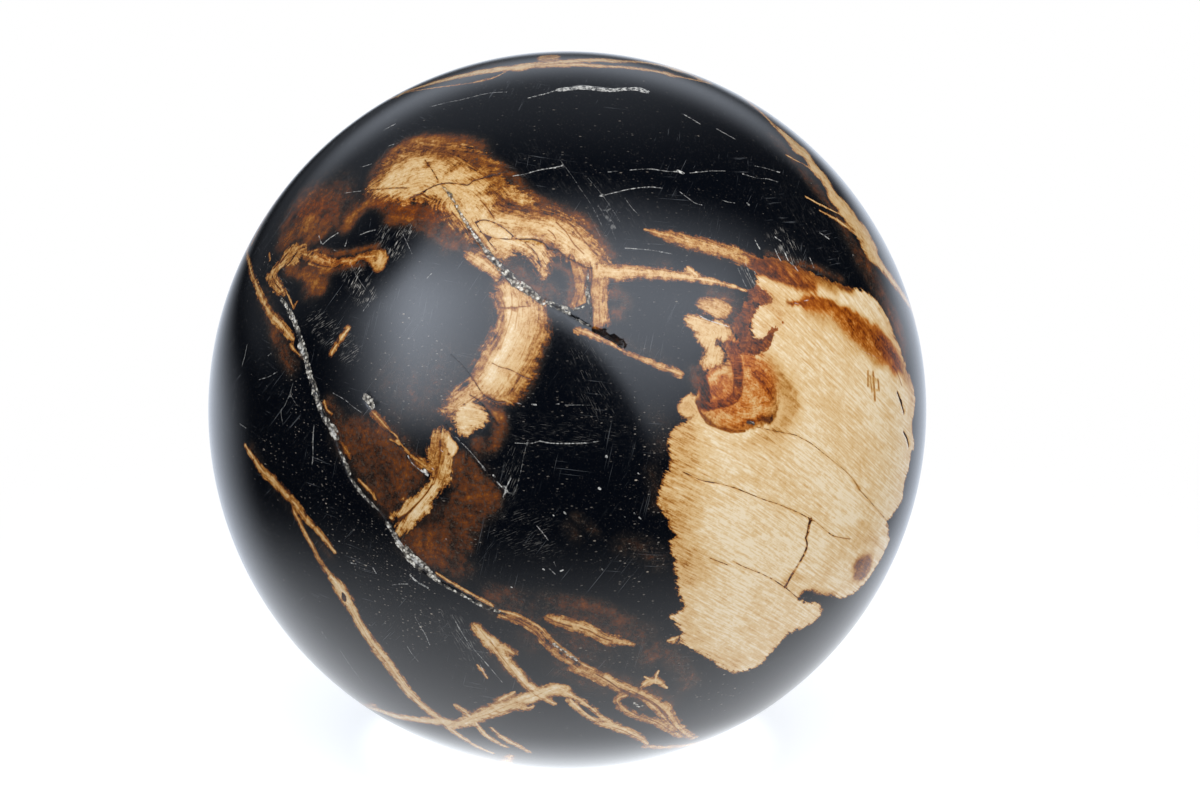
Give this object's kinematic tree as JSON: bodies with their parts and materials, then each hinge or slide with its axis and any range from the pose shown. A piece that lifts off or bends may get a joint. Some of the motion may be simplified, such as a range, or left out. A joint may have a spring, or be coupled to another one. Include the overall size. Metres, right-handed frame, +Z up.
{
  "type": "petrified wood sphere",
  "caption": "Polished ball of black petrified wood with cream and tan veins and open fissures, on a small flat spot.",
  "frame": {"origin": "centre of the flat spot ground under the ball, on the surface that it stands on", "axes": "+Z up through the ball's centre and top, -Y towards the side that the picture shows, +X to the right seen from there"},
  "size_m": [0.1, 0.1, 0.0994],
  "materials": {
    "stone": "polished"
  },
  "bodies": {
    "root": {"sphere": "stone"}
  },
  "joints": []
}
